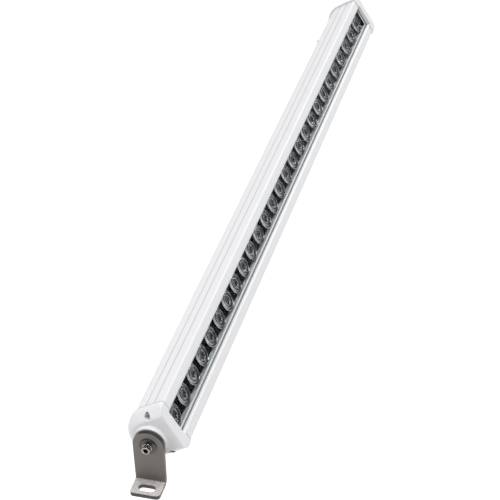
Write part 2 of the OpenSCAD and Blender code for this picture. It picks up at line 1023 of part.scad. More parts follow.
module gland_nut() {
    color([0.2, 0.2, 0.21])
        in_lamp()
            at_gland()
                difference() {
                    intersection() {
                        gland_hex(gland_hex_end, gland_nut_end);
                        gland_round(gland_key / 2 + slip, gland_hex_end, gland_nut_end);
                    }
                    gland_round(gland_thread_d / 2 + running_fit, gland_seat, gland_spigot_end);
                    gland_round(gland_seal_r + slip, gland_seat, gland_spigot_end + overrun);
                    gland_round(gland_bore_d / 2 + slip, gland_seat, gland_nut_end + overrun);
                }
}

housing();
front_glass();
glass_seal();
for (i = [1 : module_count]) lens_holder(i);
for (i = [1 : module_count]) lens_set(i);
for (i = [1 : board_count]) led_board(i);
led_packages();
thermal_pads();
board_screws();
driver_board();
driver_transformer();
driver_capacitors();
driver_inductor();
terminal_block();
cap(1);  // near_cap
cap(-1);  // far_cap
cap_gasket(1);  // near_gasket
cap_gasket(-1);  // far_gasket
cap_screws(1);  // near_cap_screws
cap_screws(-1);  // far_cap_screws
gland_body();
gland_seal();
gland_nut();
bracket(1);  // near_bracket
bracket(-1);  // far_bracket
bush(1);  // near_bush
bush(-1);  // far_bush
pivot_bolt(1);  // near_bolt
pivot_bolt(-1);  // far_bolt
spring_washer(1);  // near_spring_washer
spring_washer(-1);  // far_spring_washer
flat_washer(1);  // near_washer
flat_washer(-1);  // far_washer
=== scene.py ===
import json
import math
import bpy
from mathutils import Matrix, Quaternion, Vector


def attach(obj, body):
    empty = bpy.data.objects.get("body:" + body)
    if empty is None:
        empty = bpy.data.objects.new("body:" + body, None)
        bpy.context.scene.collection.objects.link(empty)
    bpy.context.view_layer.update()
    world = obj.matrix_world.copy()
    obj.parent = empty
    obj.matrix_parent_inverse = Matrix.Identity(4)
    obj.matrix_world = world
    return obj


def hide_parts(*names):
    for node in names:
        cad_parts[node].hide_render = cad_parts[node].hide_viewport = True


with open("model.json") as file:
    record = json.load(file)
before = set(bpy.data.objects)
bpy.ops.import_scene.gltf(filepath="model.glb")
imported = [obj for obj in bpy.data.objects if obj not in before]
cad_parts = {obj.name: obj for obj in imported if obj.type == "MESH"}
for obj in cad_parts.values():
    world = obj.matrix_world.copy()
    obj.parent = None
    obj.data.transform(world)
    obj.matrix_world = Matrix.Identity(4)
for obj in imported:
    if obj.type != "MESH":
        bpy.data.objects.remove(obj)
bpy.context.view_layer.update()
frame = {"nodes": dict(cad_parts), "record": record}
cadNodes = frame["nodes"]
print("frame loaded:", len(cadNodes), "nodes")

mm = 0.001

# the lamp is stored tilted round its pivot line; in its own frame the light shines up
lampPlace = {"pivotHeight": 49, "tilt": 60}
lampFrame = (Matrix.Translation((0, 0, lampPlace["pivotHeight"] * mm))
             @ Matrix.Rotation(math.radians(-lampPlace["tilt"]), 4, "X"))

# the photo was taken from above the near end, with a long lens
cameraSetup = {
    "place": (1.7202, 0.4795, 1.2143), "azimuth": 106.33, "elevation": 34.93, "roll": -2.13,
    "lens": 129.4, "sensor": 36, "farLimit": 120,
}


def makeCamera(setup):
    azimuth, elevation = math.radians(setup["azimuth"]), math.radians(setup["elevation"])
    flat = math.cos(elevation)
    back = Vector((math.sin(azimuth) * flat, -math.cos(azimuth) * flat, math.sin(elevation)))
    bpy.ops.object.camera_add(location=setup["place"])
    camera = bpy.context.object
    camera.name = "photoCamera"
    camera.rotation_mode = "QUATERNION"
    level = back.to_track_quat("Z", "Y")
    camera.rotation_quaternion = level @ Quaternion((0, 0, 1), math.radians(setup["roll"]))
    camera.data.lens = setup["lens"]
    camera.data.sensor_width = setup["sensor"]
    camera.data.clip_end = setup["farLimit"]
    bpy.context.scene.camera = camera


makeCamera(cameraSetup)


def addNode(tree, kind, **values):
    node = tree.nodes.new(kind)
    for name, value in values.items():
        setattr(node, name, value)
    return node


def feed(tree, value, socket):
    # links the output of another node, or sets a fixed value
    if isinstance(value, bpy.types.NodeSocket):
        tree.links.new(value, socket)
    else:
        socket.default_value = value


def mathStep(tree, operation, *values):
    node = addNode(tree, "ShaderNodeMath", operation=operation)
    for socket, value in zip(node.inputs, values):
        feed(tree, value, socket)
    return node.outputs["Value"]


def rangeStep(tree, value, given=(0, 1), wanted=(0, 1)):
    node = addNode(tree, "ShaderNodeMapRange")
    feed(tree, value, node.inputs["Value"])
    node.inputs["From Min"].default_value, node.inputs["From Max"].default_value = given
    node.inputs["To Min"].default_value, node.inputs["To Max"].default_value = wanted
    return node.outputs["Result"]


def noiseStep(tree, place, scale, detail, rough=0.5):
    node = addNode(tree, "ShaderNodeTexNoise")
    feed(tree, place, node.inputs["Vector"])
    feed(tree, scale, node.inputs["Scale"])
    node.inputs["Detail"].default_value = detail
    node.inputs["Roughness"].default_value = rough
    return node.outputs["Fac"]


def splitStep(tree, vector):
    node = addNode(tree, "ShaderNodeSeparateXYZ")
    feed(tree, vector, node.inputs["Vector"])
    return node.outputs


def overlay(tree, mask, below, above):
    # shows the upper colour where the mask is white
    node = addNode(tree, "ShaderNodeMix", data_type="RGBA")
    feed(tree, mask, node.inputs["Factor"])
    feed(tree, below, node.inputs["A"])
    feed(tree, above, node.inputs["B"])
    return node.outputs["Result"]


def makeGroup(name, inputs, outputs=("Mask",)):
    group = bpy.data.node_groups.new(name, "ShaderNodeTree")
    for label, value in inputs.items():
        socket = group.interface.new_socket(
            name=label, in_out="INPUT", socket_type="NodeSocketFloat")
        socket.default_value = value
    for label in outputs:
        kind = "NodeSocketVector" if label == "Normal" else "NodeSocketFloat"
        group.interface.new_socket(name=label, in_out="OUTPUT", socket_type=kind)
    given = addNode(group, "NodeGroupInput").outputs
    result = addNode(group, "NodeGroupOutput").inputs
    return group, given, result


grainLook = {"detail": 3, "rough": 0.55}


def makeGrainGroup(look):
    # fine surface grain: a mask for the roughness, and a normal
    group, given, result = makeGroup(
        "fineGrain", {"Scale": 900, "Strength": 0.2, "Distance": 0.0001}, ("Mask", "Normal"))
    place = addNode(group, "ShaderNodeTexCoord").outputs["Object"]
    grain = noiseStep(group, place, given["Scale"], look["detail"], look["rough"])
    bump = addNode(group, "ShaderNodeBump")
    feed(group, grain, bump.inputs["Height"])
    feed(group, given["Strength"], bump.inputs["Strength"])
    feed(group, given["Distance"], bump.inputs["Distance"])
    feed(group, grain, result["Mask"])
    feed(group, bump.outputs["Normal"], result["Normal"])
    return group


dustLook = {"wideDetail": 5, "clear": 0.42, "full": 0.72, "fineScale": 420, "fineDetail": 2}


def makeDustGroup(look):
    # soft clouds of dust and handling marks, broken up by a finer grain
    group, given, result = makeGroup("dustClouds", {"Scale": 14, "Amount": 0.5})
    place = addNode(group, "ShaderNodeTexCoord").outputs["Object"]
    wide = noiseStep(group, place, given["Scale"], look["wideDetail"])
    fine = noiseStep(group, place, look["fineScale"], look["fineDetail"])
    clouds = rangeStep(group, wide, (look["clear"], look["full"]))
    both = mathStep(group, "MULTIPLY", clouds, fine)
    feed(group, mathStep(group, "MULTIPLY", both, given["Amount"]), result["Mask"])
    return group


# how far a face may lean and still take the painted highlight, and how dense its specks are
upwardSheenLook = {
    "leaning": 0.75, "upright": 0.97, "detail": 2, "thin": 0.34, "dense": 0.58, "least": 0.55,
}


def makeUpwardSheenGroup(look):
    # painted highlight: fine bright specks on what faces straight up, below a height, standing in
    # for the light these faces reflect
    group, given, result = makeGroup("upwardSheenSpecks", {"Scale": 1000, "Cover": 0.8, "Height": 0.02})
    place = addNode(group, "ShaderNodeTexCoord").outputs
    upward = rangeStep(group, splitStep(group, place["Normal"])["Z"],
                       (look["leaning"], look["upright"]))
    low = mathStep(group, "LESS_THAN", splitStep(group, place["Object"])["Z"], given["Height"])
    lowAndUp = mathStep(group, "MULTIPLY", low, upward)
    noise = noiseStep(group, place["Object"], given["Scale"], look["detail"])
    specks = rangeStep(group, noise, (look["thin"], look["dense"]), (look["least"], 1))
    both = mathStep(group, "MULTIPLY", lowAndUp, specks)
    feed(group, mathStep(group, "MULTIPLY", both, given["Cover"]), result["Mask"])
    return group


# in metres: the two levels of the grooves, their half width, and how far out the sides begin
grooveShadeLook = {"levels": (0.013, 0.0026), "width": 0.0009, "sides": 0.0245, "depth": 0.8}


def makeGrooveShadeGroup(look):
    # painted shade: dark lines along the lamp at two levels of its sides, in its grooves, measured
    # from the pivot line
    group, given, result = makeGroup("grooveShadeLines", {
        "Level 1": look["levels"][0], "Level 2": look["levels"][1],
        "Width": look["width"], "Depth": look["depth"]})
    turned = addNode(group, "ShaderNodeMapping", vector_type="TEXTURE")
    feed(group, addNode(group, "ShaderNodeTexCoord").outputs["Object"], turned.inputs["Vector"])
    turned.inputs["Location"].default_value = (0, 0, lampPlace["pivotHeight"] * mm)
    turned.inputs["Rotation"].default_value = (math.radians(-lampPlace["tilt"]), 0, 0)
    place = splitStep(group, turned.outputs["Vector"])
    lines = [mathStep(group, "COMPARE", place["Z"], given[level], given["Width"])
             for level in ("Level 1", "Level 2")]
    either = mathStep(group, "MAXIMUM", *lines)
    aside = mathStep(group, "ABSOLUTE", place["Y"])
    outside = mathStep(group, "GREATER_THAN", aside, look["sides"])
    both = mathStep(group, "MULTIPLY", either, outside)
    feed(group, mathStep(group, "MULTIPLY", both, given["Depth"]), result["Mask"])
    return group


# in metres: where the skirts of the caps end, from the middle of the lamp
seamShadeLook = {"limit": 0.4379, "depth": 0.85}


def makeSeamShadeGroup(look):
    # painted shade: a thin dark line on the edge of the skirt, standing in for the shadow at its
    # joint with the housing
    group, given, result = makeGroup("seamShadeLine", {"Limit": look["limit"], "Depth": look["depth"]})
    place = splitStep(group, addNode(group, "ShaderNodeTexCoord").outputs["Object"])
    edge = mathStep(group, "LESS_THAN", mathStep(group, "ABSOLUTE", place["X"]), given["Limit"])
    feed(group, mathStep(group, "MULTIPLY", edge, given["Depth"]), result["Mask"])
    return group


grainGroup = makeGrainGroup(grainLook)
dustGroup = makeDustGroup(dustLook)
upwardSheenGroup = makeUpwardSheenGroup(upwardSheenLook)
grooveShadeGroup = makeGrooveShadeGroup(grooveShadeLook)
seamShadeGroup = makeSeamShadeGroup(seamShadeLook)


def placeGroup(tree, group, **values):
    node = addNode(tree, "ShaderNodeGroup", node_tree=group)
    for name, value in values.items():
        node.inputs[name].default_value = value
    return node.outputs


def startMaterial(name, alpha, look):
    material = bpy.data.materials.new(name)
    material.use_nodes = True
    material.diffuse_color = (*look["color"], alpha)
    tree = material.node_tree
    return material, tree, tree.nodes["Principled BSDF"]


# what a finish has where its own list says nothing else
usualFinish = {
    "cloud": 14, "metal": 0, "coat": 0, "coatRough": 0.1, "ior": 1.5, "gloss": 0.5,
    "speckScale": 620, "speckCover": 1, "speckHeight": 0.02,
}


def makeFinish(name, ownLook):
    # one principled shader, with grain in the normal and roughness, and dust in the colour;
    # it can add painted shade in the grooves and on the edge of a skirt,
    # and a painted highlight in fine specks on the faces that look straight up
    look = {**usualFinish, **ownLook}
    material, tree, shader = startMaterial(name, 1, look)
    grain = placeGroup(tree, grainGroup,
                       Scale=look["grain"], Strength=look["bump"], Distance=look["depth"])
    dust = placeGroup(tree, dustGroup, Scale=look["cloud"], Amount=look["dust"])
    base = overlay(tree, dust["Mask"], (*look["color"], 1), (*look["dirt"], 1))
    if "grooves" in look:
        groove = placeGroup(tree, grooveShadeGroup, Depth=look["grooves"])
        base = overlay(tree, groove["Mask"], base, (*look["grooveShadeColor"], 1))
    if "seamShade" in look:
        seamShade = placeGroup(tree, seamShadeGroup, Depth=look["seamShade"])
        base = overlay(tree, seamShade["Mask"], base, (*look["seamShadeColor"], 1))
    shader.inputs["Metallic"].default_value = look["metal"]
    # painted highlight: the faces that look straight up are painted lighter in specks, and are less
    # metallic there
    if "upwardSheen" in look:
        upwardSheenMask = placeGroup(tree, upwardSheenGroup, Scale=look["speckScale"],
                             Cover=look["speckCover"], Height=look["speckHeight"])
        base = overlay(tree, upwardSheenMask["Mask"], base, (*look["upwardSheen"], 1))
        bare = mathStep(tree, "SUBTRACT", look["metal"], upwardSheenMask["Mask"])
        bare.node.use_clamp = True
        feed(tree, bare, shader.inputs["Metallic"])
    feed(tree, base, shader.inputs["Base Color"])
    feed(tree, rangeStep(tree, grain["Mask"], wanted=look["rough"]), shader.inputs["Roughness"])
    feed(tree, grain["Normal"], shader.inputs["Normal"])
    shader.inputs["Coat Weight"].default_value = look["coat"]
    shader.inputs["Coat Roughness"].default_value = look["coatRough"]
    shader.inputs["IOR"].default_value = look["ior"]
    shader.inputs["Specular IOR Level"].default_value = look["gloss"]
    return material


def makeClear(name, look):
    # clear solid: constants stay on the sockets, only a faint haze varies
    material, tree, shader = startMaterial(name, look["shown"], look)
    dust = placeGroup(tree, dustGroup, Scale=look["cloud"], Amount=look["haze"])
    rough = rangeStep(tree, dust["Mask"], wanted=look["rough"])
    base = overlay(tree, dust["Mask"], (*look["color"], 1), (*look["dirt"], 1))
    feed(tree, rough, shader.inputs["Roughness"])
    feed(tree, base, shader.inputs["Base Color"])
    shader.inputs["Transmission Weight"].default_value = 1
    shader.inputs["IOR"].default_value = look["ior"]
    shader.inputs["Specular IOR Level"].default_value = look["gloss"]
    # light reaches what stands behind it, less what the shade keeps back
    passed = addNode(tree, "ShaderNodeBsdfTransparent")
    passed.inputs["Color"].default_value = (*look["shade"], 1)
    mixed = addNode(tree, "ShaderNodeMixShader")
    feed(tree, addNode(tree, "ShaderNodeLightPath").outputs["Is Shadow Ray"], mixed.inputs["Fac"])
    feed(tree, shader.outputs["BSDF"], mixed.inputs[1])
    feed(tree, passed.outputs["BSDF"], mixed.inputs[2])
    feed(tree, mixed.outputs["Shader"], tree.nodes["Material Output"].inputs["Surface"])
    return material


whitePaint = {
    "color": (0.84, 0.84, 0.85), "dirt": (0.76, 0.76, 0.76), "grain": 1400, "bump": 0.25,
    "depth": 0.00006, "rough": (0.36, 0.50), "dust": 0.25,
}
finishLooks = {
    # the housing carries painted shade in the grooves along its sides
    "housingWhite": {**whitePaint, "grooves": 0.8, "grooveShadeColor": (0.58, 0.56, 0.57)},
    # the caps carry painted shade on the edge of the skirt, darker on the near cap than on the far
    # one
    "capWhite": {**whitePaint, "seamShade": 0.85, "seamShadeColor": (0.36, 0.35, 0.37)},
    "farCapWhite": {**whitePaint, "seamShade": 0.85, "seamShadeColor": (0.66, 0.66, 0.67)},
    # painted shade for the walls of the bay below the glass
    "bayPaintedShade": {
        **whitePaint, "color": (0.40, 0.41, 0.43), "dirt": (0.33, 0.33, 0.34),
        "rough": (0.40, 0.55), "dust": 0.4},
    "bracketSteel": {
        "color": (0.205, 0.188, 0.174), "dirt": (0.265, 0.248, 0.232), "grain": 2600, "bump": 0.5,
        "depth": 0.00012, "rough": (0.42, 0.6), "metal": 0.55, "dust": 0.5, "cloud": 60,
        "upwardSheen": (0.72, 0.68, 0.655)},
    # painted shade for the edge faces of the bracket plates
    "edgeShadeSteel": {
        "color": (0.10, 0.092, 0.086), "dirt": (0.16, 0.15, 0.14), "grain": 2600, "bump": 0.5,
        "depth": 0.0001, "rough": (0.22, 0.4), "metal": 1, "dust": 0.5, "cloud": 60},
    "brightSteel": {
        "color": (0.52, 0.50, 0.48), "dirt": (0.16, 0.15, 0.14), "grain": 1800, "bump": 0.15,
        "depth": 0.00005, "rough": (0.10, 0.22), "metal": 1, "dust": 0.6, "cloud": 90},
    "darkSteel": {
        "color": (0.12, 0.112, 0.105), "dirt": (0.06, 0.056, 0.052), "grain": 1800, "bump": 0.2,
        "depth": 0.00005, "rough": (0.18, 0.32), "metal": 1, "dust": 0.5, "cloud": 90},
    "holderBlack": {
        "color": (0.004, 0.004, 0.005), "dirt": (0.018, 0.018, 0.02), "grain": 2200, "bump": 0.3,
        "depth": 0.00004, "rough": (0.34, 0.5), "dust": 0.3, "cloud": 80, "gloss": 0.04},
    "siliconeBead": {
        "color": (0.78, 0.79, 0.79), "dirt": (0.62, 0.62, 0.61), "grain": 700, "bump": 0.4,
        "depth": 0.0001, "rough": (0.25, 0.4), "dust": 0.5, "cloud": 60},
    "gapShade": {
        "color": (0.14, 0.145, 0.15), "dirt": (0.24, 0.24, 0.24), "grain": 900, "bump": 0.4,
        "depth": 0.0001, "rough": (0.5, 0.7), "dust": 0.5, "cloud": 60},
    "boardWhite": {
        "color": (0.72, 0.72, 0.69), "dirt": (0.60, 0.58, 0.52), "grain": 1500, "bump": 0.2,
        "depth": 0.00003, "rough": (0.3, 0.42), "dust": 0.3, "cloud": 40},
    "phosphor": {
        "color": (0.88, 0.70, 0.18), "dirt": (0.82, 0.60, 0.12), "grain": 3000, "bump": 0.1,
        "depth": 0.00003, "rough": (0.12, 0.22), "dust": 0.6, "cloud": 400},
    "padGrey": {
        "color": (0.40, 0.41, 0.43), "dirt": (0.33, 0.33, 0.35), "grain": 1200, "bump": 0.5,
        "depth": 0.0001, "rough": (0.6, 0.8), "dust": 0.5, "cloud": 50},
    "boardGreen": {
        "color": (0.03, 0.20, 0.08), "dirt": (0.07, 0.27, 0.12), "grain": 1300, "bump": 0.2,
        "depth": 0.00004, "rough": (0.25, 0.4), "dust": 0.8, "cloud": 120},
    "transformerTape": {
        "color": (0.66, 0.50, 0.06), "dirt": (0.50, 0.36, 0.04), "grain": 900, "bump": 0.3,
        "depth": 0.00008, "rough": (0.3, 0.45), "dust": 0.5, "cloud": 90},
    "capacitorSleeve": {
        "color": (0.02, 0.025, 0.07), "dirt": (0.05, 0.06, 0.12), "grain": 1100, "bump": 0.2,
        "depth": 0.00004, "rough": (0.2, 0.34), "dust": 0.5, "cloud": 120},
    "ferrite": {
        "color": (0.06, 0.055, 0.05), "dirt": (0.12, 0.11, 0.10), "grain": 1600, "bump": 0.6,
        "depth": 0.0001, "rough": (0.5, 0.75), "dust": 0.5, "cloud": 90},
    "terminalPlastic": {
        "color": (0.04, 0.26, 0.09), "dirt": (0.08, 0.32, 0.14), "grain": 1400, "bump": 0.2,
        "depth": 0.00004, "rough": (0.3, 0.45), "dust": 0.4, "cloud": 90},
    "rubberBlackAndSocketShade": {
        "color": (0.015, 0.015, 0.015), "dirt": (0.06, 0.06, 0.06), "grain": 1500, "bump": 0.4,
        "depth": 0.00006, "rough": (0.55, 0.75), "dust": 0.5, "cloud": 70},
    "glandNylon": {
        "color": (0.022, 0.022, 0.024), "dirt": (0.07, 0.07, 0.07), "grain": 1700, "bump": 0.35,
        "depth": 0.00005, "rough": (0.4, 0.58), "dust": 0.5, "cloud": 90},
    "bushNylon": {
        "color": (0.74, 0.73, 0.68), "dirt": (0.60, 0.58, 0.53), "grain": 1500, "bump": 0.2,
        "depth": 0.00004, "rough": (0.35, 0.5), "dust": 0.5, "cloud": 90},
    "frostedAcrylic": {
        "color": (0.92, 0.93, 0.95), "dirt": (0.74, 0.76, 0.78), "grain": 2400, "bump": 0.3,
        "depth": 0.00004, "rough": (0.22, 0.38), "dust": 0.5, "cloud": 200, "coat": 0.3},
}
# the glass has a low index, as one with an anti-reflection coating, and the lenses a high one,
# so that their glints show through it
clearLooks = {
    "clearGlass": {
        "color": (0.97, 0.99, 0.985), "dirt": (0.92, 0.93, 0.93), "rough": (0.0, 0.06),
        "haze": 0.2, "cloud": 9, "ior": 1.06, "gloss": 0.5, "shade": (0.55, 0.57, 0.58),
        "shown": 0.3},
    "clearAcrylic": {
        "color": (0.41, 0.43, 0.46), "dirt": (0.32, 0.33, 0.35), "rough": (0.0, 0.05),
        "haze": 0.3, "cloud": 150, "ior": 1.75, "gloss": 0.5, "shade": (0.4, 0.41, 0.43),
        "shown": 0.3},
}
finishes = {name: makeFinish(name, look) for name, look in finishLooks.items()}
finishes.update({name: makeClear(name, look) for name, look in clearLooks.items()})
print("finishes made:", len(finishes))

slotFinish = {
    "powder_white": "housingWhite", "front_glass": "clearGlass", "sealant": "siliconeBead",
    "holder_black": "holderBlack", "lens_clear": "clearAcrylic", "board_white": "boardWhite",
    "led_phosphor": "phosphor", "pad_grey": "padGrey", "stainless": "brightSteel",
    "bracket_steel": "bracketSteel", "board_green": "boardGreen",
    "transformer_tape": "transformerTape", "capacitor_sleeve": "capacitorSleeve",
    "inductor_core": "ferrite", "terminal_plastic": "terminalPlastic",
    "rubber_black": "rubberBlackAndSocketShade", "gland_plastic": "glandNylon", "bush_nylon": "bushNylon",
}
# nodes that don't take the finish of their slot
nodeFinish = {
    "near_cap": "capWhite", "far_cap": "farCapWhite",
    "near_washer": "darkSteel", "far_washer": "darkSteel",
}
nodeSlot = {row["node"]: row["material_slot"] for row in frame["record"]["subparts"]}
nodeBody = {name: body for body, names in frame["record"]["behaviour"]["bodies"].items()
            for name in names}


def setFinish(piece, finishName):
    piece.data.materials.clear()
    piece.data.materials.append(finishes[finishName])


def finishOf(nodeName):
    return nodeFinish.get(nodeName, slotFinish[nodeSlot[nodeName]])


def paintFaces(piece, finishName, test):
    # a second finish on the faces that the test picks by their middle, in mm, and their normal
    piece.data.materials.append(finishes[finishName])
    for face in piece.data.polygons:
        if test(face.center / mm, face.normal):
            face.material_index = 1


for name, cadNode in cadNodes.items():
    setFinish(cadNode, finishOf(name))


def deselectAll():
    if bpy.context.mode != "OBJECT":
        bpy.ops.object.mode_set(mode="OBJECT")
    bpy.ops.object.select_all(action="DESELECT")


def activate(piece):
    deselectAll()
    piece.select_set(True)
    bpy.context.view_layer.objects.active = piece


def applyModifiers(piece):
    activate(piece)
    for modifier in list(piece.modifiers):
        bpy.ops.object.modifier_apply(modifier=modifier.name)


def softenEdges(piece, width, segments=2, angle=28):
    # rounds every hard edge a little, so that it catches the light
    activate(piece)
    if width:
        bevel = piece.modifiers.new("edges", "BEVEL")
        bevel.width = width
        bevel.segments = segments
        bevel.limit_method = "ANGLE"
        bevel.angle_limit = math.radians(angle)
        bevel.miter_outer = "MITER_ARC"
        applyModifiers(piece)
    bpy.ops.object.shade_smooth_by_angle(angle=math.radians(angle))
    weighted = piece.modifiers.new("normals", "WEIGHTED_NORMAL")
    weighted.keep_sharp = True
    applyModifiers(piece)


def copyMesh(original, name):
    copied = bpy.data.objects.new(name, original.data.copy())
    bpy.context.scene.collection.objects.link(copied)
    return copied


def registerPiece(piece, nodeName):
    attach(piece, nodeBody[nodeName])
    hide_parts(nodeName)


mergeLook = {"distance": 0.002, "flatAngle": 0.6}


def softCopy(nodeName, pieceName, width, merge):
    # a copy of a CAD solid, merged, with its hard edges rounded
    piece = copyMesh(cadNodes[nodeName], pieceName)
    activate(piece)
    bpy.ops.object.mode_set(mode="EDIT")
    bpy.ops.mesh.select_all(action="SELECT")
    bpy.ops.mesh.remove_doubles(threshold=merge["distance"] * mm)
    bpy.ops.mesh.dissolve_limited(angle_limit=math.radians(merge["flatAngle"]))
    bpy.ops.object.mode_set(mode="OBJECT")
    softenEdges(piece, width * mm)
    setFinish(piece, finishOf(nodeName))
    registerPiece(piece, nodeName)


holderCount = 9
# the piece for each node, and how much its edges are rounded, in mm
softPieces = {
    "housing": ("housingShell", 0),
    "near_cap": ("nearCap", 0.35), "far_cap": ("farCap", 0.35),
    "near_bracket": ("nearBracket", 0.3), "far_bracket": ("farBracket", 0.3),
    "near_washer": ("nearWasher", 0.2), "far_washer": ("farWasher", 0.2),
    "near_spring_washer": ("nearSpringWasher", 0.25),
    "far_spring_washer": ("farSpringWasher", 0.25),
    "near_cap_screws": ("nearCapScrews", 0.25), "far_cap_screws": ("farCapScrews", 0.25),
    "gland_nut": ("glandNut", 0.3), "gland_body": ("glandBody", 0.2),
}
for number in range(1, holderCount + 1):
    softPieces["lens_holder_%d" % number] = ("lensHolder%d" % number, 0.2)
for nodeName, (pieceName, width) in softPieces.items():
    softCopy(nodeName, pieceName, width, mergeLook)

bracketLook = {"footTop": 4.6, "bendEnd": 466.5, "archFrom": 40, "facing": 0.5}


def showShadedEdges(piece, look):
    # painted shade: the edge faces of the plate are painted darker than its faces
    def onShadedEdge(place, normal):
        side = abs(normal.y) > look["facing"]
        arch = place.z > look["archFrom"] and abs(normal.x) < look["facing"]
        toe = place.z < look["footTop"] and abs(place.x) > look["bendEnd"]
        return side or arch or (toe and abs(normal.z) < look["facing"])

    paintFaces(piece, "edgeShadeSteel", onShadedEdge)


for pieceName in ("nearBracket", "farBracket"):
    showShadedEdges(bpy.data.objects[pieceName], bracketLook)

bayLook = {"halfWidth": 20, "top": 18.5, "bottom": 1}


def paintBayShade(piece, look):
    # painted shade: the walls below the glass are painted grey, standing in for the shade inside
    # the recess
    toLamp = lampFrame.inverted()

    def inBay(place, normal):
        spot = toLamp @ (place * mm) / mm
        return abs(spot.y) < look["halfWidth"] and look["bottom"] < spot.z < look["top"]

    paintFaces(piece, "bayPaintedShade", inBay)


paintBayShade(bpy.data.objects["housingShell"], bayLook)
print("softened pieces:", len(softPieces))


def turnPiece(name, profile, segments):
    # turns a closed body: one cap is drawn, then extruded and scaled from step to step
    deselectAll()
    radius, height = profile[0]
    bpy.ops.mesh.primitive_circle_add(vertices=segments, radius=radius * mm, fill_type="NGON")
    piece = bpy.context.object
    piece.name = name
    bpy.ops.object.mode_set(mode="EDIT")
    bpy.ops.mesh.select_all(action="SELECT")
    bpy.ops.transform.translate(value=(0, 0, height * mm))
    for nextRadius, nextHeight in profile[1:]:
        step = (0, 0, (nextHeight - height) * mm)
        bpy.ops.mesh.extrude_region_move(TRANSFORM_OT_translate={"value": step})
        scale = nextRadius / radius
        center = (0, 0, nextHeight * mm)
        bpy.ops.transform.resize(value=(scale, scale, 1), center_override=center)
        radius, height = nextRadius, nextHeight
    bpy.ops.mesh.select_all(action="SELECT")
    bpy.ops.mesh.normals_make_consistent(inside=False)
    bpy.ops.object.mode_set(mode="OBJECT")
    return piece


def placePiece(piece, matrix):
    # moves the place of a piece into its mesh
    activate(piece)
    piece.matrix_world = matrix
    bpy.ops.object.transform_apply(location=True, rotation=True, scale=True)


def joinPieces(pieces, name):
    activate(pieces[0])
    for piece in pieces[1:]:
        piece.select_set(True)
    bpy.ops.object.join()
    pieces[0].name = name
    return pieces[0]


lensLook = {
    "count": 27, "perSet": 3, "pitch": 32.5, "boardTop": 3.7, "segments": 72, "smooth": 35,
    "height": 12.8,
    # the well for the LED
    "wellRadius": 3.2, "wellDepth": 5.2, "wellCrown": 0.9, "wellSteps": 4, "wellFit": 0.98,
    # the foot and the curved cone
    "footRadius": 5, "footEdge": 0.12, "bodyRadius": 10.8, "curve": 0.6, "coneSteps": 10,
    # the flange, with the points of its rim: in from the edge, down from the face
    "flangeRadius": 12, "flange": 1.2, "flangeEdge": 0.15,
    "rimPoints": ((0, 0.6), (0.15, 0.3), (0.55, 0), (0.9, 0), (1.05, 0.12)),
    # the valley inside the rim, and the ridge next to it
    "valley": 9.2, "valleyDepth": 0.85, "valleyWall": 0.5, "valleyFall": 0.05,
    "crest": 8.5, "crestWall": 0.2, "crestDrop": 0.05,
    # the rings and the dish
    "rings": 2, "ringStart": 0.3, "ringInner": 5.6, "ringDrop": 0.1, "ringDepth": 0.35,
    "ringSteps": 8, "dishRadius": 5.3, "dishDrop": 0.15, "dishDepth": 2.6, "dishSteps": 9,
    "dishEye": 0.2,
    # what is frosted: how far down the corner, and from where the ridge
    "frosted": 0.6, "frostedRidge": 0.1,
}


def lensProfile(look):
    # from the crown of the LED well, out under the foot, up the cone and in over the face
    profile = []
    for step in range(1, look["wellSteps"] + 1):
        share = step / look["wellSteps"]
        drop = look["wellCrown"] * share * share
        profile.append((look["wellRadius"] * share * look["wellFit"], look["wellDepth"] - drop))
    profile += [(look["wellRadius"], look["footEdge"]), (look["wellRadius"] + look["footEdge"], 0),
                (look["footRadius"], 0)]
    coneTop = look["height"] - look["flange"]
    grow = look["bodyRadius"] - look["footRadius"]
    for step in range(1, look["coneSteps"] + 1):
        rise = step / look["coneSteps"]
        profile.append((look["footRadius"] + grow * rise ** look["curve"], coneTop * rise))
    rim, top, edge = look["flangeRadius"], look["height"], look["flangeEdge"]
    profile += [(rim - edge, coneTop), (rim, coneTop + edge)]
    profile += [(rim - inward, top - down) for inward, down in look["rimPoints"]]
    floor = top - look["valleyDepth"]
    profile += [(look["valley"] + look["valleyWall"], floor),
                (look["valley"], floor - look["valleyFall"]),
                (look["crest"] + look["crestWall"], top - look["dishDrop"]),
                (look["crest"], top - look["crestDrop"])]
    ringTop = top - look["ringDrop"]
    pitch = (look["crest"] - look["ringStart"] - look["ringInner"]) / look["rings"]
    for ring in range(look["rings"]):
        for step in range(look["ringSteps"]):
            share = step / look["ringSteps"]
            wave = math.sin(math.pi * share)
            radius = look["crest"] - look["ringStart"] - (ring + share) * pitch
            profile.append((radius, ringTop - look["ringDepth"] * wave))
    dishTop = top - look["dishDrop"]
    profile += [(look["ringInner"], ringTop), (look["dishRadius"], dishTop)]
    for step in range(1, look["dishSteps"] + 1):
        angle = step / look["dishSteps"] * math.pi / 2
        radius = max(look["dishRadius"] * math.cos(angle), look["dishEye"])
        profile.append((radius, dishTop - look["dishDepth"] * math.sin(angle)))
    return profile


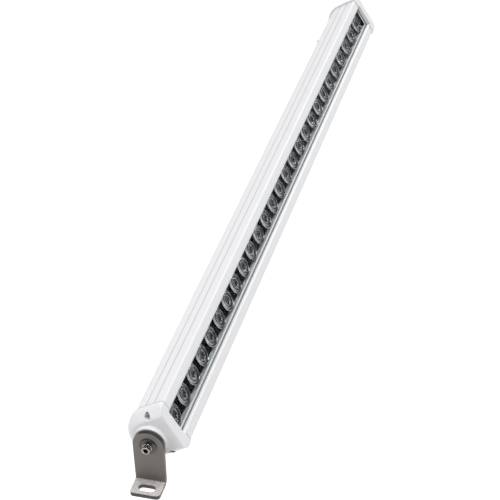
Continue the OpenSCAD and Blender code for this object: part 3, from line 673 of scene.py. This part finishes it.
def makeLenses(look):
    first = turnPiece("lensMaster", lensProfile(look), look["segments"])
    activate(first)
    bpy.ops.object.shade_smooth_by_angle(angle=math.radians(look["smooth"]))
    setFinish(first, "clearAcrylic")

    def isFrosted(place, normal):
        away = math.hypot(place.x, place.y)
        high = place.z > look["height"] - look["frosted"]
        corner = high and away > look["flangeRadius"] - look["frosted"]
        land = high and look["dishRadius"] < away < look["ringInner"]
        onRidge = look["crest"] + look["frostedRidge"] < away < look["valley"]
        return corner or land or (onRidge and place.z > look["height"] - look["valleyDepth"])

    paintFaces(first, "frostedAcrylic", isFrosted)
    rowEnd = look["count"] * look["pitch"] / 2
    for setNumber in range(look["count"] // look["perSet"]):
        lenses = []
        for k in range(look["perSet"]):
            x = rowEnd - (setNumber * look["perSet"] + k + 0.5) * look["pitch"]
            lens = copyMesh(first, "lens")
            placePiece(lens, lampFrame @ Matrix.Translation((x * mm, 0, look["boardTop"] * mm)))
            lenses.append(lens)
        piece = joinPieces(lenses, "lensSet%d" % (setNumber + 1))
        registerPiece(piece, "lens_set_%d" % (setNumber + 1))
    bpy.data.objects.remove(first)


makeLenses(lensLook)
print("lenses made:", lensLook["count"])


def selectFaces(piece, test):
    # selects faces by their middle, in mm, and their normal
    bpy.ops.object.mode_set(mode="OBJECT")
    for vertex in piece.data.vertices:
        vertex.select = False
    for edge in piece.data.edges:
        edge.select = False
    for face in piece.data.polygons:
        face.select = bool(test(face.center / mm, face.normal))
    bpy.ops.object.mode_set(mode="EDIT")
    bpy.ops.mesh.select_mode(type="FACE")


def selectVertices(piece, test):
    bpy.ops.object.mode_set(mode="EDIT")
    bpy.ops.mesh.select_mode(type="VERT")
    bpy.ops.mesh.select_all(action="DESELECT")
    bpy.ops.object.mode_set(mode="OBJECT")
    for vertex in piece.data.vertices:
        vertex.select = bool(test(vertex.co / mm))
    bpy.ops.object.mode_set(mode="EDIT")


beadLook = {
    "length": 880.9, "width": 27.9, "glassTop": 20.3, "gap": 1.35, "gapHeight": 0.12,
    "bead": 1.7, "beadHeight": 0.7, "gapShadeRise": 1.8, "round": 0.28, "roundSteps": 3,
    "hardAngle": 40, "facingUp": 0.5, "near": 0.1, "past": 0.01,
}


def makeBead(look):
    # a bright bead round the window; the gap between it and the housing is painted dark, as painted
    # shade
    deselectAll()
    bpy.ops.mesh.primitive_plane_add(size=1)
    piece = bpy.context.object
    piece.scale = (look["length"] * mm, look["width"] * mm, 1)
    bpy.ops.object.transform_apply(location=True, rotation=True, scale=True)
    bpy.ops.object.mode_set(mode="EDIT")
    bpy.ops.mesh.select_mode(type="FACE")
    bpy.ops.mesh.select_all(action="SELECT")
    bpy.ops.mesh.inset(thickness=look["gap"] * mm)
    bpy.ops.mesh.inset(thickness=look["bead"] * mm)
    bpy.ops.mesh.delete(type="FACE")
    bpy.ops.mesh.select_all(action="SELECT")
    rise = (0, 0, look["gapHeight"] * mm)
    bpy.ops.mesh.extrude_region_move(TRANSFORM_OT_translate={"value": rise})
    wallX, wallY = look["length"] / 2 - look["near"], look["width"] / 2 - look["near"]
    beadX, beadY = look["length"] / 2 - look["gap"], look["width"] / 2 - look["gap"]

    def onWall(place):
        outer = abs(place.x) > wallX or abs(place.y) > wallY
        return outer and place.z > look["gapHeight"] / 2

    def onBead(center, normal):
        return normal.z > look["facingUp"] and abs(center.x) < beadX and abs(center.y) < beadY

    def inGap(center, normal):
        return abs(center.x) > beadX + look["past"] or abs(center.y) > beadY + look["past"]

    # the painted shade of the gap climbs the wall of the housing a little
    selectVertices(piece, onWall)
    bpy.ops.transform.translate(value=(0, 0, (look["gapShadeRise"] - look["gapHeight"]) * mm))
    selectFaces(piece, onBead)
    rise = (0, 0, (look["beadHeight"] - look["gapHeight"]) * mm)
    bpy.ops.mesh.extrude_region_move(TRANSFORM_OT_translate={"value": rise})
    bpy.ops.mesh.select_all(action="SELECT")
    bpy.ops.mesh.normals_make_consistent(inside=False)
    bpy.ops.object.mode_set(mode="OBJECT")
    setFinish(piece, "siliconeBead")
    # painted shade: the faces in the gap are painted near black
    paintFaces(piece, "gapShade", inGap)
    softenEdges(piece, look["round"] * mm, look["roundSteps"], look["hardAngle"])
    placePiece(piece, lampFrame @ Matrix.Translation((0, 0, look["glassTop"] * mm)))
    piece.name = "glassBead"
    registerPiece(piece, "glass_seal")


makeBead(beadLook)

boltLook = {
    "seat": 468.45, "headRadius": 4.25, "headHeight": 5, "headFoot": 0.3, "headFace": 1.2,
    "chamfer": 0.45, "chamferIn": 0.4, "chamferDown": 0.25,
    "shankRadius": 2.5, "shank": 20, "shankTip": 0.6,
    "knurls": 30, "knurlDepth": 0.2, "knurlFrom": 0.7, "knurlTop": 4.1,
    "key": 4, "keyDepth": 2.7, "round": 0.09, "roundSteps": 2, "hardAngle": 40,
    "near": 0.05, "past": 0.1,
}


def boltProfile(look):
    # from the tip of the shank to the face of the head
    radius, height, edge = look["headRadius"], look["headHeight"], look["chamfer"]
    shank, tip, foot = look["shankRadius"], look["shankTip"], look["headFoot"]
    return [(shank - tip, -look["shank"]), (shank, tip - look["shank"]), (shank, 0),
            (radius - foot, 0), (radius, foot), (radius, look["knurlFrom"]),
            (radius, look["knurlTop"]), (radius, height - edge),
            (radius - edge * look["chamferIn"], height - edge * look["chamferDown"]),
            (radius - edge, height), (radius - look["headFace"], height)]


def knurlHead(piece, look):
    # every second row of the head's wall is drawn in
    rows = look["knurls"] * 2
    draw = 1 - look["knurlDepth"] / look["headRadius"]
    low, high = look["knurlFrom"] - look["past"], look["knurlTop"] + look["past"]
    for vertex in piece.data.vertices:
        row = round(math.atan2(vertex.co.y, vertex.co.x) / (2 * math.pi) * rows)
        away = math.hypot(vertex.co.x, vertex.co.y) / mm
        if away > look["headRadius"] - look["near"] and low < vertex.co.z / mm < high and row % 2:
            vertex.co.x *= draw
            vertex.co.y *= draw


def makeBolt(nodeName, pieceName, side, look):
    # socket head bolt: turned, knurled, then cut for the hexagon key
    piece = turnPiece("bolt", boltProfile(look), look["knurls"] * 2)
    knurlHead(piece, look)
    deselectAll()
    keyRadius = look["key"] / 2 / math.cos(math.pi / 6)
    bpy.ops.mesh.primitive_cylinder_add(
        vertices=6, radius=keyRadius * mm, depth=2 * look["keyDepth"] * mm,
        location=(0, 0, look["headHeight"] * mm))
    keyTool = bpy.context.object
    cut = piece.modifiers.new("key", "BOOLEAN")
    cut.operation = "DIFFERENCE"
    cut.object = keyTool
    applyModifiers(piece)
    bpy.data.objects.remove(keyTool)
    softenEdges(piece, look["round"] * mm, look["roundSteps"], look["hardAngle"])
    setFinish(piece, finishOf(nodeName))
    keyFloor = look["headHeight"] - look["keyDepth"] - look["past"]

    def inSocket(place, normal):
        return math.hypot(place.x, place.y) < keyRadius - look["near"] and place.z > keyFloor

    # painted shade: the faces of the key socket take the black rubber finish
    paintFaces(piece, "rubberBlackAndSocketShade", inSocket)
    turned = Matrix.Rotation(math.radians(90 * side), 4, "Y")
    seat = Matrix.Translation((side * look["seat"] * mm, 0, lampPlace["pivotHeight"] * mm))
    placePiece(piece, seat @ turned)
    piece.name = pieceName
    registerPiece(piece, nodeName)


makeBolt("near_bolt", "nearBolt", 1, boltLook)
makeBolt("far_bolt", "farBolt", -1, boltLook)
print("bead and bolts made")

studio = {
    "floorSize": 80, "floorColor": (0.3, 0.3, 0.3, 1), "floorRough": 0.9, "floorGloss": 0.1,
    "floorShown": 1.0, "floorGlow": 0.7,
    "worldColor": (0.97, 0.98, 1.0, 1), "worldStrength": 0.3,
}
lights = {
    "keyLight": {"place": (0.35, 0.1, 2.95), "aim": (0, 0, 0.05), "size": 1.4, "power": 48},
    "fillLight": {"place": (2.0, -2.0, 1.6), "aim": (0, 0, 0.05), "size": 1.0, "power": 15.5},
    "sparkLight": {"place": (1.05, 1.35, 2.55), "aim": (0, 0, 0.05), "size": 0.5, "power": 7},
    "backLight": {"place": (-2.4, 0.35, 1.75), "aim": (0.3, 0, 0.05), "size": 1.1, "power": 28},
}


def makeFloor(look):
    deselectAll()
    bpy.ops.mesh.primitive_plane_add(size=look["floorSize"], location=(0, 0, 0))
    floor = bpy.context.object
    floor.name = "studioFloor"
    material = bpy.data.materials.new("studioFloor")
    material.use_nodes = True
    tree = material.node_tree
    shader = tree.nodes["Principled BSDF"]
    shader.inputs["Base Color"].default_value = look["floorColor"]
    shader.inputs["Roughness"].default_value = look["floorRough"]
    shader.inputs["Specular IOR Level"].default_value = look["floorGloss"]
    shader.inputs["Emission Color"].default_value = (1, 1, 1, 1)
    # the floor looks white, but gives less light back than that
    seen = addNode(tree, "ShaderNodeLightPath").outputs["Is Camera Ray"]
    glow = rangeStep(tree, seen, wanted=(look["floorGlow"], look["floorShown"]))
    feed(tree, glow, shader.inputs["Emission Strength"])
    floor.data.materials.append(material)


def makeLight(name, setup):
    bpy.ops.object.light_add(type="AREA", location=setup["place"])
    light = bpy.context.object
    light.name = name
    light.data.shape = "DISK"
    light.data.size = setup["size"]
    light.data.energy = setup["power"]
    toward = Vector(setup["aim"]) - Vector(setup["place"])
    light.rotation_mode = "QUATERNION"
    light.rotation_quaternion = toward.to_track_quat("-Z", "Y")


def makeWorld(look):
    world = bpy.data.worlds.new("studioWorld")
    world.use_nodes = True
    background = world.node_tree.nodes["Background"]
    background.inputs["Color"].default_value = look["worldColor"]
    background.inputs["Strength"].default_value = look["worldStrength"]
    bpy.context.scene.world = world


makeFloor(studio)
for lightName, lightSetup in lights.items():
    makeLight(lightName, lightSetup)
makeWorld(studio)
bpy.context.scene.view_settings.view_transform = "Standard"
print("studio ready")

deselectAll()
